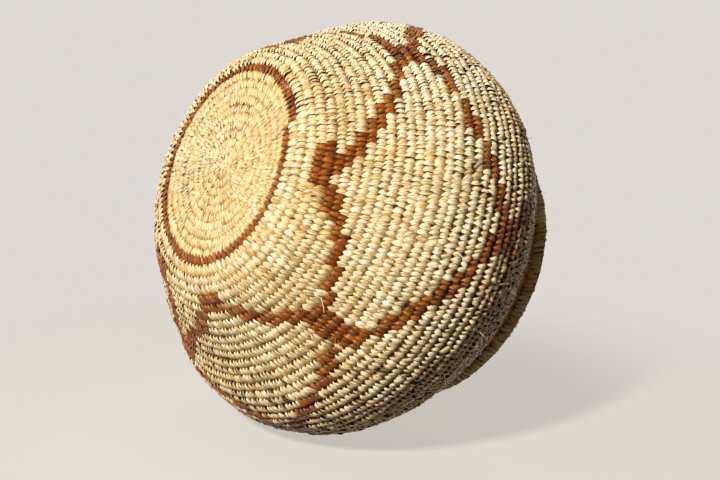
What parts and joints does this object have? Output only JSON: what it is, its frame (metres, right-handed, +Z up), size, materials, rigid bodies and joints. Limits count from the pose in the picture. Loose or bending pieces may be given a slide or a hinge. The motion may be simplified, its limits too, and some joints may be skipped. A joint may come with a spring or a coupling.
{
  "type": "coiled basket",
  "caption": "Round-bellied coiled basket with a flat base, a narrow neck and a flared open rim, for holding small dry things.",
  "frame": {"origin": "middle of the flat base, on the surface that the basket stands on", "axes": "+Z up through the mouth, +X and +Y level; the turns start at 158.75 degrees from +X towards +Y and run towards +Y as they climb"},
  "size_m": [0.2229, 0.2085, 0.1409],
  "materials": {
    "cream_splint": "peeled plant splint, cream, split flat and sewn tight round a grass bundle, satin",
    "straw_splint": "peeled plant splint, straw colour, sewn over a grass bundle in short raised stitches, satin",
    "brown_splint": "plant splint dyed red-brown, sewn like the pale ones, satin"
  },
  "bodies": {
    "root": {"start_knot": "cream_splint", "base_course_01": "cream_splint", "base_course_02": "cream_splint", "base_course_03": "cream_splint", "base_course_04": "cream_splint", "base_course_05": "cream_splint", "base_course_06": "cream_splint", "base_course_07": "cream_splint", "base_course_08": "cream_splint", "base_course_09": "cream_splint", "base_course_10": "cream_splint", "base_ring_course_11": "brown_splint", "flank_course_12": "straw_splint", "flank_course_13": "straw_splint", "flank_course_14": "straw_splint", "flank_course_15": "straw_splint", "flank_course_16": "straw_splint", "flank_course_17": "straw_splint", "flank_course_18": "straw_splint", "flank_course_19": "straw_splint", "flank_course_20": "straw_splint", "flank_course_21": "straw_splint", "flank_course_22": "straw_splint", "flank_course_23": "straw_splint", "flank_course_24": "straw_splint", "flank_course_25": "straw_splint", "belly_course_26": "straw_splint", "belly_course_27": "straw_splint", "belly_course_28": "straw_splint", "belly_course_29": "straw_splint", "belly_course_30": "straw_splint", "belly_course_31": "straw_splint", "belly_course_32": "straw_splint", "belly_course_33": "straw_splint", "belly_course_34": "straw_splint", "belly_course_35": "straw_splint", "belly_course_36": "straw_splint", "belly_course_37": "straw_splint", "belly_course_38": "straw_splint", "belly_course_39": "straw_splint", "belly_course_40": "straw_splint", "shoulder_course_41": "straw_splint", "shoulder_course_42": "straw_splint", "shoulder_course_43": "straw_splint", "shoulder_course_44": "straw_splint", "shoulder_course_45": "straw_splint", "shoulder_course_46": "straw_splint", "shoulder_course_47": "straw_splint", "shoulder_course_48": "straw_splint", "shoulder_course_49": "straw_splint", "neck_course_50": "brown_splint", "rim_course_51": "straw_splint", "rim_course_52": "straw_splint"}
  },
  "joints": []
}
